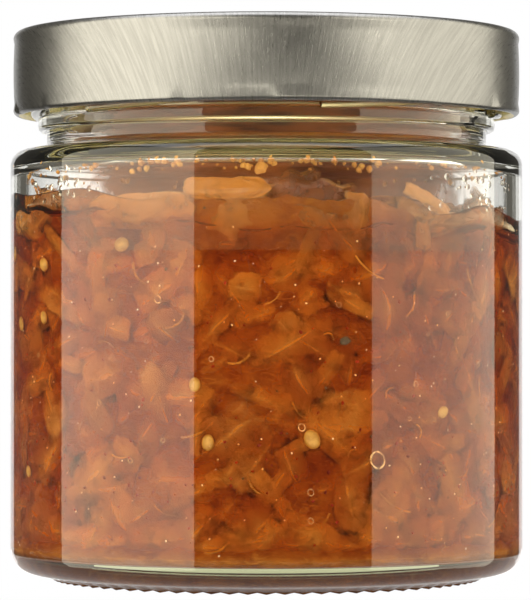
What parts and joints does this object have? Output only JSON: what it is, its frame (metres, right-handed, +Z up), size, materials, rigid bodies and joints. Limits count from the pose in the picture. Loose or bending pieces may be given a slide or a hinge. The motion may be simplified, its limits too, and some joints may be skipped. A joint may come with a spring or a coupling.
{
  "type": "jar of kimchi",
  "caption": "Shut cylindrical glass jar of chopped kimchi, with a rounded shoulder, a short neck, a bearing ring and a wide brushed-steel twist-off lid.",
  "frame": {"origin": "on the jar's axis, at the level of the foot that it stands on", "axes": "+Z up along the jar's axis, the pictured side facing -Y, +X to the right of it"},
  "size_m": [0.0854, 0.0854, 0.091],
  "materials": {
    "glass": "clear flint glass with a faint olive tint where it is thick",
    "kimchi": "wet chopped cabbage in orange chilli brine",
    "lid_steel": "satin-brushed tinplate under clear lacquer"
  },
  "bodies": {
    "root": {"jar_glass": "glass", "kimchi": "kimchi", "lid": "lid_steel"}
  },
  "joints": []
}
